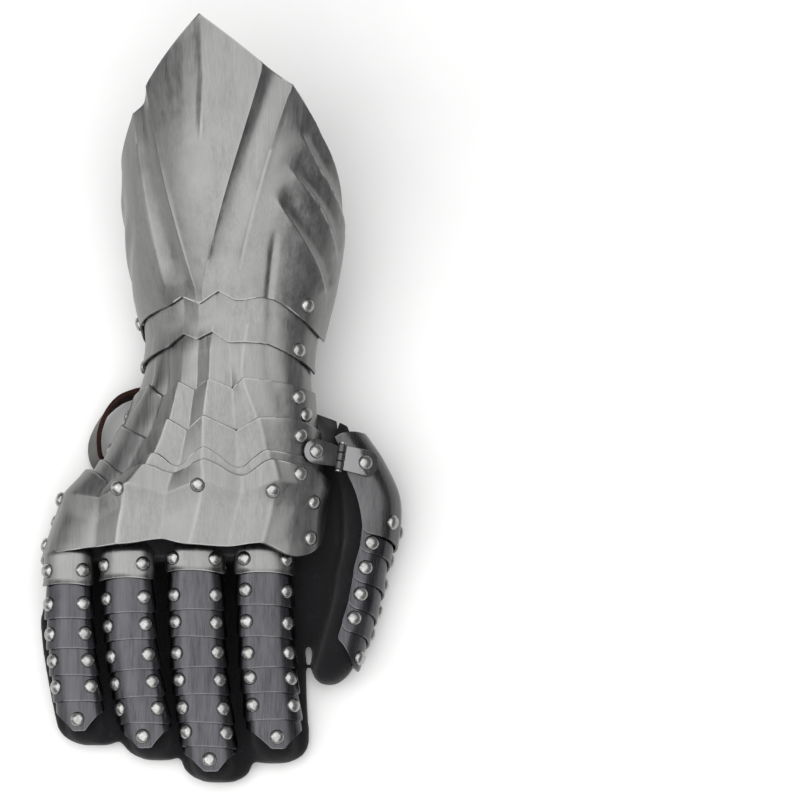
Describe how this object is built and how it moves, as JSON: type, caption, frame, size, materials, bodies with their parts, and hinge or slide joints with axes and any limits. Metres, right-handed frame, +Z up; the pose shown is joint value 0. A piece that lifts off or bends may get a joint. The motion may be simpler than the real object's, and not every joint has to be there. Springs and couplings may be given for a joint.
{
  "type": "armoured gauntlet",
  "caption": "Fluted steel plate gauntlet for a right hand: pointed cuff, wrist and hand lames, knuckle plate, finger and thumb lames over a suede glove, with a wrist strap.",
  "frame": {"origin": "on the flat underside of the glove's palm, under the hand", "axes": "+Y from the fingers to the point of the cuff, +Z up from the palm through the back of the hand, +X to the thumb"},
  "size_m": [0.1722, 0.3492, 0.0998],
  "materials": {
    "satin_steel": "satin, brushed along the hand",
    "dark_steel": "brighter polish, darker from handling",
    "suede": "black suede",
    "strap_leather": "grey dressed leather, raw edges"
  },
  "bodies": {
    "cuff": {"cuff": "satin_steel"},
    "wrist_lame": {"wrist_lame": "satin_steel"},
    "hand": {"glove_hand": "suede", "glove_index": "suede", "glove_little": "suede", "glove_middle": "suede", "glove_ring": "suede", "glove_thumb": "suede", "hand_lame_1": "satin_steel", "hand_lame_2": "satin_steel", "hand_lame_3": "satin_steel", "hand_lame_4": "satin_steel", "hinge_leaf_hand": "satin_steel", "hinge_leaf_thumb": "satin_steel", "hinge_pin": "satin_steel", "index_lame_1": "dark_steel", "index_lame_2": "dark_steel", "index_lame_3": "dark_steel", "index_lame_4": "dark_steel", "index_lame_5": "dark_steel", "index_lame_6": "dark_steel", "index_tip": "dark_steel", "knuckle_plate": "satin_steel", "little_lame_1": "dark_steel", "little_lame_2": "dark_steel", "little_lame_3": "dark_steel", "little_lame_4": "dark_steel", "little_lame_5": "dark_steel", "little_tip": "dark_steel", "middle_lame_1": "dark_steel", "middle_lame_2": "dark_steel", "middle_lame_3": "dark_steel", "middle_lame_4": "dark_steel", "middle_lame_5": "dark_steel", "middle_lame_6": "dark_steel", "middle_lame_7": "dark_steel", "middle_tip": "dark_steel", "ring_lame_1": "dark_steel", "ring_lame_2": "dark_steel", "ring_lame_3": "dark_steel", "ring_lame_4": "dark_steel", "ring_lame_5": "dark_steel", "ring_lame_6": "dark_steel", "ring_tip": "dark_steel", "strap": "strap_leather", "thumb_lame_1": "dark_steel", "thumb_lame_2": "dark_steel", "thumb_lame_3": "dark_steel", "thumb_lame_4": "dark_steel", "thumb_plate": "satin_steel", "thumb_tip": "dark_steel"}
  },
  "joints": [
    {"name": "lame_pivot", "type": "hinge", "parent": "hand", "child": "wrist_lame", "pos_m": [0.00933, 0.06, 0.03761], "axis": [0.9014, 0, 0.4329], "range_deg": [-2, 8]},
    {"name": "cuff_pivot", "type": "hinge", "parent": "wrist_lame", "child": "cuff", "pos_m": [0.01013, 0.08, 0.04247], "axis": [0.908, 0, 0.4189], "range_deg": [-2, 6]}
  ]
}
